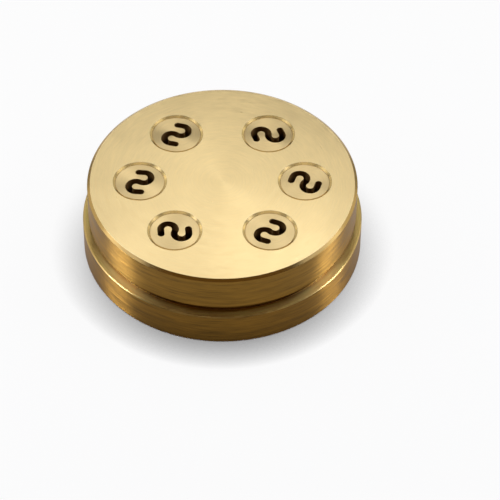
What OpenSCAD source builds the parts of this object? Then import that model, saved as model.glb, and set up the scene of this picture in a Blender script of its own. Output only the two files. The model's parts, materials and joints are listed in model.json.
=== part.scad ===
// Pasta extrusion die: a flanged brass disc with six inserts, each with an S-shaped slot.
// The origin is the centre of the back face, and the dough leaves upwards, along +Z.

/* [S-shaped slot] */
// Width of the slot, which sets the thickness of the pasta
slot_w = 1.9; // [1:0.05:2.4]
// Radius of each hook, to the middle of the slot
hook_r = 2; // [1.6:0.05:2.6]
// Angle that each hook turns through
hook_turn = 207; // [150:1:210]
// Straight stretch between the two hooks
hook_gap = 0.1; // [0.1:0.05:1.5]
// Straight tail at the end of each hook
tail = 1.6; // [0.5:0.1:2.2]
// Length of the slot from the feed cup to the front of the insert
land = 3; // [2:0.1:5]

/* [Insert] */
// Least room between the reach of the slot and the wall of the feed cup
cup_margin = 0.5; // [0.2:0.1:1.5]
// Wall round the feed cup at the insert's nose
cup_wall = 1.3; // [0.8:0.1:2.5]
// Width of the shoulder that stops the insert in its seat
shoulder_w = 1.7; // [0.8:0.1:2.2]
// Thickness of the insert's head
head_h = 5; // [3:0.1:7]
// Width and height of the funnel at the mouth of the feed cup
funnel = 1.2; // [0.4:0.1:2]
// Depth of the insert's front below the front face of the die
set_back = 0.4; // [0.1:0.05:1]
// Edge break on the insert's head
head_break = 0.3; // [0.1:0.05:0.6]
// Edge break round the insert's front
front_break = 0.1; // [0.05:0.05:0.3]

/* [Arrangement] */
// Radius of the circle that the inserts stand on
pitch_r = 22.8; // [19:0.1:30]
// Angle from the side inserts to the ones in front and behind
spread = 55.5; // [48:0.5:66]
// Turn of the slot in the right insert
turn_right = 45; // [0:1:179]
// Turn of the slot in the back right insert
turn_back_right = 83; // [0:1:179]
// Turn of the slot in the back left insert
turn_back_left = 139; // [0:1:179]
// Turn of the slot in the left insert
turn_left = 149; // [0:1:179]
// Turn of the slot in the front left insert
turn_front_left = 68; // [0:1:179]
// Turn of the slot in the front right insert
turn_front_right = 132; // [0:1:179]

/* [Body] */
// Gap all round between an insert and its seat
seat_gap = 0.04; // [0.02:0.01:0.1]
// Width of the bevel round the mouth of each insert hole
mouth_w = 0.7; // [0.2:0.05:1]
// Depth of the bevel round the mouth of each insert hole
mouth_h = 0.4; // [0.2:0.05:0.8]
// Depth of the dough chamber in the back
chamber_h = 6; // [3:0.1:8]
// Room between the insert heads and the chamber wall
chamber_margin = 0.7; // [0.2:0.1:3]
// Wall between the dough chamber and the neck
neck_wall = 4; // [2:0.1:6]
// Depth of the relief groove behind the nose
groove_depth = 1.4; // [0.5:0.1:3]
// Width of the relief groove behind the nose
groove_w = 2.3; // [2.1:0.1:4]
// Width of the flange beyond the nose, which the ring nut bears on
flange_lip = 1.6; // [1:0.1:5]
// Thickness of the flange
flange_h = 9.8; // [8:0.1:14]
// Length of the nose in front of the groove
nose_h = 10.7; // [7:0.1:16]
// Width of the chamfer round the front face
face_chamfer_w = 0.8; // [0.3:0.05:2]
// Height of the chamfer round the front face
face_chamfer_h = 0.6; // [0.3:0.05:2]
// Edge break on the flange, the chamber mouth and the back of the nose
edge_break = 0.25; // [0.1:0.05:0.6]

/* [Hidden] */
$fn = 96;

// How far a cutting shape runs past the face that it opens
overrun = 1;

// Angle between the points of the slot's curves
curve_step = 5;

// Insert sizes, worked outwards from the slot, with the cup rounded up to a tenth
slot_reach = norm([hook_gap / 2, hook_r]) + hook_r + slot_w / 2;
cup_r = ceil(10 * (slot_reach + cup_margin)) / 10;
insert_nose_r = cup_r + cup_wall;
head_r = insert_nose_r + shoulder_w;

// Body sizes, worked outwards from the inserts
chamber_r = pitch_r + head_r + chamber_margin;
neck_r = chamber_r + neck_wall;
nose_r = neck_r + groove_depth;
flange_r = nose_r + flange_lip;

// Heights above the back face
shoulder_z = chamber_h + head_h;
groove_top_z = flange_h + groove_w;
body_h = groove_top_z + nose_h;
insert_h = body_h - set_back - chamber_h;

// Each insert's name, its place round the die and the turn of its slot
INSERTS = [
    ["insert_right", 0, turn_right],
    ["insert_back_right", spread, turn_back_right],
    ["insert_back_left", 180 - spread, turn_back_left],
    ["insert_left", 180, turn_left],
    ["insert_front_left", 180 + spread, turn_front_left],
    ["insert_front_right", -spread, turn_front_right]
];

// Point of a hook at angle a along its turn, at a distance to the outer side of the slot's middle line
function hook_point(a, outwards) =
    [hook_gap / 2, hook_r] + (hook_r + outwards) * [sin(a), -cos(a)];

// Outline of one hook: out along its outer side, round the end of the tail and back along its inner side
function hook_outline(turns) =
    let (
        outer = [for (a = turns) hook_point(a, slot_w / 2)],
        inner = [for (i = [len(turns) - 1:-1:0]) hook_point(turns[i], -slot_w / 2)],
        tail_end = hook_point(hook_turn, 0) + tail * [cos(hook_turn), sin(hook_turn)],
        cap = [for (b = [-90:curve_step:90]) tail_end
            + slot_w / 2 * [cos(hook_turn + b), sin(hook_turn + b)]]
    )
    concat(outer, cap, inner);

// The whole S as a wall of height h: two hooks, one turned half round from the other
module slot(h) {
    steps = ceil(hook_turn / curve_step);
    hook = hook_outline([for (i = [0:steps]) hook_turn * i / steps]);
    linear_extrude(h)
        polygon(concat(hook, -hook));
}

// Section of an insert, from its axis outwards, with its back at height 0
module insert_section() {
    cup_h = insert_h - land;
    polygon([
        [0, cup_h],
        [cup_r, cup_h],
        [cup_r, funnel],
        [cup_r + funnel, 0],
        [head_r - head_break, 0],
        [head_r, head_break],
        [head_r, head_h - head_break],
        [head_r - head_break, head_h],
        [insert_nose_r, head_h],
        [insert_nose_r, insert_h - front_break],
        [insert_nose_r - front_break, insert_h],
        [0, insert_h]
    ]);
}

// One insert in its seat
module insert(place, turn) {
    color([0.87, 0.72, 0.42])
        rotate(place)
            translate([pitch_r, 0, chamber_h])
                rotate(turn - place)
                    difference() {
                        rotate_extrude()
                            insert_section();
                        translate([0, 0, insert_h - land - overrun])
                            slot(land + 2 * overrun);
                    }
}

// Section of the body, from its axis outwards
module body_section() {
    polygon([
        [0, chamber_h],
        [chamber_r, chamber_h],
        [chamber_r, edge_break],
        [chamber_r + edge_break, 0],
        [flange_r - edge_break, 0],
        [flange_r, edge_break],
        [flange_r, flange_h - edge_break],
        [flange_r - edge_break, flange_h],
        [neck_r, flange_h],
        [neck_r, groove_top_z],
        [nose_r - edge_break, groove_top_z],
        [nose_r, groove_top_z + edge_break],
        [nose_r, body_h - face_chamfer_h],
        [nose_r - face_chamfer_w, body_h],
        [0, body_h]
    ]);
}

// Section of an insert's hole: a seat for the head, a bore for the nose and a bevelled mouth
module hole_section() {
    seat_r = head_r + seat_gap;
    bore_r = insert_nose_r + seat_gap;
    mouth_slope = mouth_w / mouth_h;
    polygon([
        [0, chamber_h - overrun],
        [seat_r, chamber_h - overrun],
        [seat_r, shoulder_z],
        [bore_r, shoulder_z],
        [bore_r, body_h - mouth_h],
        [bore_r + mouth_slope * (mouth_h + overrun), body_h + overrun],
        [0, body_h + overrun]
    ]);
}

// The flanged disc with its dough chamber and six insert holes
module die_body() {
    color([0.79, 0.62, 0.33])
        difference() {
            rotate_extrude()
                body_section();
            for (i = INSERTS)
                rotate(i[1])
                    translate([pitch_r, 0, 0])
                        rotate_extrude()
                            hole_section();
        }
}

die_body();
for (i = INSERTS)
    insert(i[1], i[2]);
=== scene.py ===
# %% [markdown]
# # A turned brass pasta die
#
# The die is a flanged brass disc with six round inserts, each with an S-shaped slot. Every
# piece of it is hard and exact, so its shape comes whole from the CAD frame. What is left to do
# here is the finish: brass that was faced and turned on a lathe, the light that such a finish
# needs, and a camera.

# %% Load the frame
import json
import math

import bpy
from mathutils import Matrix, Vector


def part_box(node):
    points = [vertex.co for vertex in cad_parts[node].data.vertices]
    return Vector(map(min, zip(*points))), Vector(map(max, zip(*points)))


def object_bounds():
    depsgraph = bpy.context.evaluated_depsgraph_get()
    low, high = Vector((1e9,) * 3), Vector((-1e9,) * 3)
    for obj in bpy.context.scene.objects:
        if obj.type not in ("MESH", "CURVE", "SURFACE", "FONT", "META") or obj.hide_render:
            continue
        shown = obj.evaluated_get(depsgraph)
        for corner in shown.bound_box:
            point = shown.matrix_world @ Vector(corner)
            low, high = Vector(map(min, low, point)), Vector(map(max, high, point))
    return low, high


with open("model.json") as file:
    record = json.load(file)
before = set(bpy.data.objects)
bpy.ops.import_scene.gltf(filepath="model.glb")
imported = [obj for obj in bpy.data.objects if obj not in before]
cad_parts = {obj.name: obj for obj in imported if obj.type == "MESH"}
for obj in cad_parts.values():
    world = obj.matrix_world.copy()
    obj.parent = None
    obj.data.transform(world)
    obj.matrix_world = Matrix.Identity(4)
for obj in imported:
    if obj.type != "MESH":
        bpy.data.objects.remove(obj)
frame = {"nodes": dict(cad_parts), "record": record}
cad_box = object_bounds()
MM = 0.001
print("CAD box, mm:", [[round(c / MM, 2) for c in corner] for corner in cad_box])

# %% [markdown]
# ## The places that the finishes need
#
# A lathe leaves a different surface on each face that it cuts, so the brass has to know where
# it is on the die: on the front face, on a wall, on an edge or down in the groove. On a turned
# piece, the height above the back says that. The heights come from the record's mounts, which say
# where the straight walls of the flange and of the nose begin and end.

# %% Heights of the die, in metres
mounts = {mount["name"]: mount for mount in frame["record"]["mounts"]}


def wall_of(name):
    """The heights of the foot and the top of the straight wall that a mount names."""
    middle = mounts[name]["pos_m"][2]
    half = mounts[name]["dims"]["length_mm"] * MM / 2
    return middle - half, middle + half


FACE_Z = cad_box[1].z
FLANGE_RADIUS = cad_box[1].x
NOSE_FOOT_Z, NOSE_TOP_Z = wall_of("nose")
RIM_TOP_Z = wall_of("flange_rim")[1]
SHOULDER_Z = mounts["nut_shoulder"]["pos_m"][2]
INSERT_NAMES = sorted(name for name in frame["nodes"] if name.startswith("insert"))
INSERT_FRONT_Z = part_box(INSERT_NAMES[0])[1].z
heights = {
    "rim": RIM_TOP_Z,
    "shoulder": SHOULDER_Z,
    "nose foot": NOSE_FOOT_Z,
    "nose top": NOSE_TOP_Z,
    "insert front": INSERT_FRONT_Z,
}
print("heights, mm:", {name: round(z / MM, 2) for name, z in heights.items()})

# %% [markdown]
# ## Writing a finish as sums
#
# A material is a graph of nodes, and most of them only add or multiply. The first class below
# wraps one output of a node, so that a sum in Python adds the Math nodes for it. The second one
# is a material. All its other nodes come from one method, which takes the node's type, its
# settings and its inputs.


# %% An output that can be used in sums
class Socket:
    """An output of a node. Arithmetic on it adds Math nodes."""

    def __init__(self, finish, output):
        self.finish = finish
        self.output = output

    def math(self, operation, first, second):
        return self.finish.add("ShaderNodeMath", {"operation": operation}, {0: first, 1: second})

    def __add__(self, other):
        return self.math("ADD", self, other)

    def __radd__(self, other):
        return self.math("ADD", other, self)

    def __sub__(self, other):
        return self.math("SUBTRACT", self, other)

    def __rsub__(self, other):
        return self.math("SUBTRACT", other, self)

    def __mul__(self, other):
        return self.math("MULTIPLY", self, other)

    def __rmul__(self, other):
        return self.math("MULTIPLY", other, self)

    def __truediv__(self, other):
        return self.math("DIVIDE", self, other)

    def __rtruediv__(self, other):
        return self.math("DIVIDE", other, self)


print("sums ready")

# %% A material and its nodes
EDGE_BLUR = 0.02 * MM


class Finish:
    """A material with an empty node graph, and the ways to fill it."""

    def __init__(self, name):
        self.material = bpy.data.materials.new(name)
        self.material.use_nodes = True
        self.material.node_tree.nodes.clear()

    def add(self, kind, settings=None, inputs=None, output=0):
        """Any node. Gives back the output that is asked for."""
        node = self.material.node_tree.nodes.new(kind)
        for name, value in (settings or {}).items():
            setattr(node, name, value)
        for name, value in (inputs or {}).items():
            if isinstance(value, Socket):
                self.material.node_tree.links.new(value.output, node.inputs[name])
            else:
                node.inputs[name].default_value = value
        return Socket(self, node.outputs[output]) if node.outputs else None

    def above(self, value, limit):
        """0 below a height or a radius and 1 above it, with a hair's width between them."""
        return self.add(
            "ShaderNodeMapRange",
            {"interpolation_type": "SMOOTHSTEP"},
            {"Value": value, "From Min": limit - EDGE_BLUR, "From Max": limit + EDGE_BLUR},
        )

    def blend(self, first, second, factor):
        """The first colour where factor is 0 and the second where it is 1."""
        # A Mix node has sockets for every type of data. Inputs 4 and 5 and output 1 take vectors.
        return self.add(
            "ShaderNodeMix",
            {"data_type": "VECTOR"},
            {0: factor, 4: first, 5: second},
            output=1,
        )

    def shade(self, colour, factor):
        """A colour made lighter or darker by a factor around 1."""
        return self.add(
            "ShaderNodeVectorMath",
            {"operation": "SCALE"},
            {"Vector": colour, "Scale": factor},
        )

    def mix(self, first, second, factor):
        """The first shader where factor is 0 and the second where it is 1."""
        return self.add("ShaderNodeMixShader", {}, {0: factor, 1: first, 2: second})

    def wear(self, shader):
        """Ends the graph with a shader and gives the material back."""
        self.add("ShaderNodeOutputMaterial", {}, {"Surface": shader})
        return self.material


print("node helpers ready")

# %% [markdown]
# ## The marks of the lathe
#
# A turning tool cuts rings: fine grooves that run round the axis, on the faces as circles and on
# the walls as hoops. Rings drawn only from the radius look like a record, because real tool marks
# break off and start again. So the pattern is a noise that changes fast across the rings and
# slowly along them. Its x and y are divided by the length of a mark, and its height and, as the
# fourth coordinate, its distance from the axis by the width of one. A mark is then an arc of the
# same length near the axis and at the rim, and nowhere is there a seam.

# %% Rings round an axis
RING_ROUGHNESS = 0.6


def place_round(finish, centre):
    """x and y from an upright axis, the height and the distance from the axis."""
    here = finish.add("ShaderNodeTexCoord", output="Object")
    to_axis = (-centre[0], -centre[1], 0)
    here = finish.add("ShaderNodeMapping", {}, {"Vector": here, "Location": to_axis})
    split = finish.add("ShaderNodeSeparateXYZ", {}, {"Vector": here}).output.node
    x, y, z = (Socket(finish, out) for out in split.outputs)
    radius = finish.add("ShaderNodeMath", {"operation": "SQRT"}, {0: x * x + y * y})
    return x, y, z, radius


def lathe_rings(finish, place, width, length, detail):
    """Noise drawn out into arcs round the axis, about width across and length long."""
    x, y, z, radius = place
    point = finish.add(
        "ShaderNodeCombineXYZ",
        {},
        {"X": x / length, "Y": y / length, "Z": z / width},
    )
    return finish.add(
        "ShaderNodeTexNoise",
        {"noise_dimensions": "4D"},
        {
            "Vector": point,
            "W": radius / width,
            "Scale": 1.0,
            "Detail": detail,
            "Roughness": RING_ROUGHNESS,
        },
    )


print("rings ready")

# %% [markdown]
# One tool leaves several marks at once: fine rings, coarse rings and, where it chatters, long low
# waves. Each has its own width. Handling adds smudges, which follow no ring.

# %% The marks of one tool
TOOL_MARKS = {
    # Width of a ring, its share of the full length, and the detail of its noise
    "fine": (0.22 * MM, 0.5, 1.0),
    "coarse": (0.5 * MM, 1.0, 3.0),
    "waves": (0.9 * MM, 1.0, 2.0),
}
SMUDGE_SIZE = 14 * MM
SMUDGE_DETAIL = 3.0


def lathe_marks(finish, place, length):
    """The marks that one tool leaves, and the smudges, each from 0 to 1."""
    marks = {
        name: lathe_rings(finish, place, width, share * length, detail)
        for name, (width, share, detail) in TOOL_MARKS.items()
    }
    marks["smudge"] = finish.add(
        "ShaderNodeTexNoise",
        {},
        {
            "Vector": finish.add("ShaderNodeTexCoord", output="Object"),
            "Scale": 1 / SMUDGE_SIZE,
            "Detail": SMUDGE_DETAIL,
        },
    )
    return marks


print("marks of a tool:", list(TOOL_MARKS))

# %% [markdown]
# ## Brass with a grain
#
# Light on turned metal spreads across the grooves, not along them. That draws the soft upright
# bands on the walls and the fans on the inserts. The Principled shader does this with its
# Anisotropic value: with no tangent given, its grain runs round the piece's own upright axis, just
# as the tool did, and a quarter turn of Anisotropic Rotation makes the light spread across it. The
# rings also make the colour and the gloss uneven, and the waves fray the bands.

# %% The brass that all the cuts share
QUARTER_TURN = 0.25
NOISE_MIDDLE = 0.5
COARSE_SHARE = 0.67
SMUDGE_CONTRAST = 0.2
GLOSS_CONTRAST = 1.2
RELIEF_SHARES = {"fine": 0.04, "coarse": 0.08, "waves": 0.88}
MICRON = 0.001 * MM


def brass(finish, marks, tone, roughness, grain, contrast, depth):
    """A brass shader. Contrast is how far the rings show, and depth is their height in microns."""
    coarse = marks["coarse"] - NOISE_MIDDLE
    fine = marks["fine"] - NOISE_MIDDLE
    smudge = marks["smudge"] - NOISE_MIDDLE
    rings = COARSE_SHARE * coarse + (1 - COARSE_SHARE) * fine
    tint = 1 + contrast * rings + SMUDGE_CONTRAST * smudge
    relief = sum(share * marks[name] for name, share in RELIEF_SHARES.items())
    bump = finish.add(
        "ShaderNodeBump",
        {},
        {"Height": depth * relief, "Strength": 1.0, "Distance": MICRON},
    )
    return finish.add(
        "ShaderNodeBsdfPrincipled",
        {},
        {
            "Base Color": finish.shade(tone, tint),
            "Metallic": 1.0,
            "Roughness": roughness + GLOSS_CONTRAST * rings * roughness,
            "Normal": bump,
            "Anisotropic": grain,
            "Anisotropic Rotation": QUARTER_TURN,
        },
    )


print("brass ready")

# %% [markdown]
# ## The disc
#
# The front face has the last, lightest cut and is the palest, and its short fine rings hardly bend
# the light. The walls have the strongest grain. Their deep brown gold is painted shade: a dark tone
# that stands in for the dark surroundings that they mirror. The shoulder, where the nut sits, is
# given a bright tone as a painted highlight, and the broken edge of the rim is painted lighter than
# the rim as a painted highlight line. The chamfer and the bevels round the insert holes are cut
# with a sharp tool and shine almost like a mirror, and the chamfer's dark tone is painted shade for
# the dark front that it mirrors. The groove is painted darkest, as painted shade in the recess.
# Grain is one value for a whole shader, so each cut gets a shader of its own, and Mix Shader nodes
# let it take over at its height. The bevels lie at the chamfer's height but nearer to the axis,
# which tells those two apart.

# %% The tones and the cuts of the disc
FACE_TONE = (0.91, 0.705, 0.355)
# Painted shade: the chamfer's dark tone stands in for the dark front that it mirrors.
CHAMFER_PAINTED_SHADE = (0.40, 0.258, 0.082)
BEVEL_TONE = (0.90, 0.65, 0.26)
# Painted shade: the nose wall's dark brown stands in for the dark surroundings that it mirrors.
NOSE_PAINTED_SHADE = (0.24, 0.127, 0.022)
# Painted shade: the groove is painted darkest, as shade in the recess.
GROOVE_PAINTED_SHADE = (0.16, 0.075, 0.012)
# Painted highlight: the shoulder is given a bright tone.
SHOULDER_PAINTED_HIGHLIGHT = (1.0, 0.72, 0.25)
# Painted highlight: the broken edge of the rim is painted lighter than the rim.
RIM_EDGE_PAINTED_HIGHLIGHT = (0.60, 0.41, 0.14)
# Painted shade: the rim wall's dark brown stands in for the dark surroundings that it mirrors.
RIM_PAINTED_SHADE = (0.207, 0.105, 0.0165)

DISC_CUTS = {
    "walls": {"roughness": 0.38, "grain": 0.95, "contrast": 3.0, "depth": 45},
    "shoulder": {"roughness": 0.35, "grain": 0.95, "contrast": 0.8, "depth": 8},
    "edges": {"grain": 0.0, "contrast": 0.1, "depth": 0.2},
    "face": {"roughness": 0.35, "grain": 0.6, "contrast": 0.32, "depth": 12},
}
CHAMFER_ROUGHNESS = 0.20
BEVEL_DULLNESS = 0.04
BEVELS_INSIDE = 34 * MM
FACE_MARK = 4 * MM
WALL_MARK = 10 * MM
print("cuts of the disc:", list(DISC_CUTS))


# %% The finish of the disc
def finish_disc():
    """Walls first, and then each cut that takes over from them."""
    finish = Finish("turned_brass")
    place = place_round(finish, (0, 0))
    z, radius = place[2:]
    above_rim = finish.above(z, RIM_TOP_Z)
    above_shoulder = finish.above(z, SHOULDER_Z - EDGE_BLUR)
    in_groove = finish.above(z, SHOULDER_Z + EDGE_BLUR)
    on_nose = finish.above(z, NOSE_FOOT_Z)
    on_edge = finish.above(z, NOSE_TOP_Z)
    on_face = finish.above(z, FACE_Z - EDGE_BLUR)
    on_bevel = 1 - finish.above(radius, BEVELS_INSIDE)

    # Painted shade on the rim, groove and nose walls, with a painted highlight on the rim's broken
    # edge.
    wall_painted_shade_and_highlight = finish.blend(RIM_PAINTED_SHADE, RIM_EDGE_PAINTED_HIGHLIGHT, above_rim)
    wall_painted_shade_and_highlight = finish.blend(wall_painted_shade_and_highlight, GROOVE_PAINTED_SHADE, in_groove)
    wall_painted_shade_and_highlight = finish.blend(wall_painted_shade_and_highlight, NOSE_PAINTED_SHADE, on_nose)
    # The chamfer's tone is painted shade, and the bevels keep their own tone.
    edge_tone_and_painted_shade = finish.blend(CHAMFER_PAINTED_SHADE, BEVEL_TONE, on_bevel)
    edge_roughness = CHAMFER_ROUGHNESS + BEVEL_DULLNESS * on_bevel

    marks = lathe_marks(finish, place, WALL_MARK)
    face_marks = lathe_marks(finish, place, FACE_MARK)
    walls = brass(finish, marks, wall_painted_shade_and_highlight, **DISC_CUTS["walls"])
    # The shoulder's bright tone is a painted highlight.
    shoulder = brass(finish, marks, SHOULDER_PAINTED_HIGHLIGHT, **DISC_CUTS["shoulder"])
    edges = brass(finish, marks, edge_tone_and_painted_shade, edge_roughness, **DISC_CUTS["edges"])
    face = brass(finish, face_marks, FACE_TONE, **DISC_CUTS["face"])
    surface = finish.mix(walls, shoulder, above_shoulder - in_groove)
    surface = finish.mix(surface, edges, on_edge)
    return finish.wear(finish.mix(surface, face, on_face))


turned_brass = finish_disc()
frame["nodes"]["die_body"].material_slots[0].material = turned_brass
print("disc finished, nodes:", len(turned_brass.node_tree.nodes))

# %% [markdown]
# ## The inserts
#
# The inserts are small turnings of their own, so the rings run round each insert's axis, and its
# fan of light stands apart from the disc's. Their brass is a little darker than the front face.
# Inside the slots the wall is duller, and its dark brown tone is painted shade in the narrow slots.

# %% The finish of each insert
INSERT_TONE = (0.80, 0.612, 0.305)
# Painted shade: the slot walls are painted dark brown.
SLOT_PAINTED_SHADE = (0.28, 0.15, 0.045)
INSERT_CUT = {"grain": 0.8, "contrast": 0.35, "depth": 12}
INSERT_ROUGHNESS = 0.38
SLOT_DULLNESS = 0.12
SLOT_REACH = 5.6 * MM


def finish_insert(name):
    """One insert's brass, with its rings round the insert's own axis."""
    low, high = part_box(name)
    finish = Finish(name + "_brass")
    place = place_round(finish, (low + high) / 2)
    z, radius = place[2:]
    below_front = 1 - finish.above(z, INSERT_FRONT_Z - EDGE_BLUR)
    in_slot = below_front * (1 - finish.above(radius, SLOT_REACH))
    # The slot walls get the painted shade tone.
    tone = finish.blend(INSERT_TONE, SLOT_PAINTED_SHADE, in_slot)
    roughness = INSERT_ROUGHNESS + SLOT_DULLNESS * in_slot
    marks = lathe_marks(finish, place, FACE_MARK)
    return finish.wear(brass(finish, marks, tone, roughness, **INSERT_CUT))


for name in INSERT_NAMES:
    frame["nodes"][name].material_slots[0].material = finish_insert(name)
print(len(INSERT_NAMES), "inserts finished")

# %% [markdown]
# ## The floor
#
# The die stands on a plain white sheet, large enough to fill every view. Lamps that make paper
# white would burn out the brass. So most of the white is a glow that only the camera and the
# reflections see, and the rest is a matt surface that takes the lamps' own soft shadows. An Ambient
# Occlusion node dims the glow close to the die. Its direction leans to the back, because the lamps
# are there, and so the shadow is deepest in front. Under the die nothing glows, and the slots stay
# dark.

# %% The finish of the sheet
PAPER_TONES = ((0.93, 0.93, 0.93), (0.95, 0.95, 0.95))
MOTTLE_SIZE = 25 * MM
MOTTLE_DETAIL = 2.0
SHEET_GLOW = 0.92
SHADOW_REACH = 10 * MM
SHADOW_DEPTH = 0.95
SHADOW_SAMPLES = 8
SKY_LEAN = math.radians(62)
SEEN_BY = ("Is Camera Ray", "Is Glossy Ray", "Is Transmission Ray")


def finish_sheet():
    """Matt paper, and over it a glow with a shadow at the foot of the die."""
    finish = Finish("matt_white_sheet")
    mottle = finish.add(
        "ShaderNodeTexNoise",
        {},
        {
            "Vector": finish.add("ShaderNodeTexCoord", output="Object"),
            "Scale": 1 / MOTTLE_SIZE,
            "Detail": MOTTLE_DETAIL,
        },
    )
    matt = finish.add("ShaderNodeBsdfDiffuse", {}, {"Color": finish.blend(*PAPER_TONES, mottle)})
    lean = finish.add(
        "ShaderNodeCombineXYZ",
        {},
        {"Y": math.sin(SKY_LEAN), "Z": math.cos(SKY_LEAN)},
    )
    open_sky = finish.add(
        "ShaderNodeAmbientOcclusion",
        {"samples": SHADOW_SAMPLES},
        {"Distance": SHADOW_REACH, "Normal": lean},
        output="AO",
    )
    dark = (1 - SHADOW_DEPTH,) * 3
    glow = finish.add(
        "ShaderNodeEmission",
        {},
        {"Color": finish.blend(dark, (1, 1, 1), open_sky), "Strength": 1.0},
    )
    rays = finish.add("ShaderNodeLightPath").output.node.outputs
    seen = sum(Socket(finish, rays[name]) for name in SEEN_BY)
    clear_of_die = finish.above(place_round(finish, (0, 0))[3], FLANGE_RADIUS)
    return finish.wear(finish.mix(matt, glow, SHEET_GLOW * clear_of_die * seen))


print("shadow reach, mm:", round(SHADOW_REACH / MM, 1))

# %% The sheet itself
SHEET_RADIUS = 3.0
SHEET_SIDES = 64
bpy.ops.object.select_all(action="DESELECT")
bpy.ops.mesh.primitive_circle_add(vertices=SHEET_SIDES, radius=SHEET_RADIUS, fill_type="NGON")
sheet = bpy.context.object
sheet.name = "white_sheet"
sheet.data.materials.append(finish_sheet())
print("floor:", sheet.name)

# %% [markdown]
# ## The lamps
#
# Brushed metal shows its lamps as broad glows, so soft boxes suit it. Two short strips lie at the
# sides, a little cool, and draw the upright bands on the walls. They lie lower than the front face,
# which would burn out where it mirrors them. Higher boxes and fills at the sides reach the chamfer,
# the shoulder and the bevels. A panel overhead and boxes at the back light the front face. The
# nearer a box is, the more its light falls off across the face, which is paler in front than at
# the back. In front there is only a dim warm lamp, and a narrow one overhead for the bevels,
# because the front of the walls and of the chamfer is dark and brown.

# %% How a soft box is made and placed
DIE_MIDDLE = Vector((0, 0, 0.012))
LAMP_DISTANCE = 0.45
WHITE = (1, 1, 1)
COOL = (0.93, 1.0, 1.3)
WARM = (1.0, 0.55, 0.06)


def soft_box(name, place, size, brightness, colour=WHITE):
    """A rectangular lamp aimed at the die. Brightness 1 looks as bright as white paper."""
    light = bpy.data.lights.new(name, "AREA")
    light.color = colour
    light.shape = "RECTANGLE"
    light.size, light.size_y = size
    light.energy = math.pi * size[0] * size[1] * brightness
    lamp = bpy.data.objects.new(name, light)
    bpy.context.scene.collection.objects.link(lamp)
    lamp.location = place
    lamp.rotation_euler = (DIE_MIDDLE - lamp.location).to_track_quat("-Z", "Y").to_euler()
    lamp.visible_camera = False


def beside(azimuth, height, distance=LAMP_DISTANCE):
    """A place round the die. Azimuth 0 is behind it and 90 on its right."""
    turn = math.radians(azimuth)
    return (distance * math.sin(turn), distance * math.cos(turn), height)


print("lamps aim at, mm:", [round(c / MM, 1) for c in DIE_MIDDLE])

# %% The soft boxes
STRIP_Z = 0.012
STRIP_DISTANCE = 0.225
soft_box("strip_left", beside(-106, STRIP_Z, STRIP_DISTANCE), (0.075, 0.020), 66, COOL)
soft_box("strip_right", beside(102, STRIP_Z, STRIP_DISTANCE), (0.070, 0.020), 58, COOL)
soft_box("side_left", beside(-94, 0.32), (0.26, 0.34), 1.6, COOL)
soft_box("side_right", beside(93, 0.32), (0.26, 0.34), 1.35, COOL)
soft_box("fill_left", beside(-73, 0.16), (0.38, 0.32), 1.1)
soft_box("fill_right", beside(74, 0.16), (0.38, 0.32), 1.15)
soft_box("top_panel", (0.0, 0.12, 0.45), (0.76, 0.25), 0.9)
soft_box("near_back", (0.0, 0.10, 0.16), (0.13, 0.075), 1.35)
soft_box("over_right", (0.055, 0.21, 0.42), (0.10, 0.12), 1.2)
soft_box("top_front", (0.0, -0.105, 0.43), (0.50, 0.05), 1.0)
soft_box("front_warm", (0.0, -0.44, 0.67), (1.2, 0.5), 0.18, WARM)
soft_box("back_left", (-0.4, 0.55, 0.25), (0.36, 0.44), 0.5)
soft_box("back_right", (0.4, 0.55, 0.25), (0.36, 0.44), 0.5)

# %% The dim room round them
ROOM_GREY = 0.03
world = bpy.data.worlds.new("dim_studio")
world.use_nodes = True
background = world.node_tree.nodes["Background"]
background.inputs["Color"].default_value = (ROOM_GREY, ROOM_GREY, ROOM_GREY, 1)
bpy.context.scene.world = world
bpy.context.scene.view_settings.view_transform = "Standard"
print("room:", world.name)

# %% [markdown]
# ## The camera
#
# The camera looks down on the front face at about 45 degrees through a long lens. It is aimed so
# that the middle of the face lands left of and above the middle of the image.

# %% The camera
IMAGE_PIXELS = 500
ELEVATION = math.radians(45.29)
DISTANCE = 0.700
FOCAL_PIXELS = 2532.8
FACE_PIXEL = (222.42, 181.04)
NEAREST, FARTHEST = 0.05, 10
face_centre = Vector((0, 0, FACE_Z))
towards_camera = Vector((0, -math.cos(ELEVATION), math.sin(ELEVATION)))
right_of_middle = FACE_PIXEL[0] - IMAGE_PIXELS / 2
above_middle = IMAGE_PIXELS / 2 - FACE_PIXEL[1]

lens = bpy.data.cameras.new("camera")
lens.lens = FOCAL_PIXELS / IMAGE_PIXELS * lens.sensor_width
lens.clip_start, lens.clip_end = NEAREST, FARTHEST
camera = bpy.data.objects.new("camera", lens)
bpy.context.scene.collection.objects.link(camera)
camera.location = face_centre + DISTANCE * towards_camera
aim = (-towards_camera).to_track_quat("-Z", "Y")
seen_at = Vector((right_of_middle, above_middle, -FOCAL_PIXELS)).normalized()
camera.rotation_mode = "QUATERNION"
camera.rotation_quaternion = aim @ seen_at.rotation_difference(Vector((0, 0, -1)))
bpy.context.scene.camera = camera
print("lens, mm:", round(lens.lens, 1))
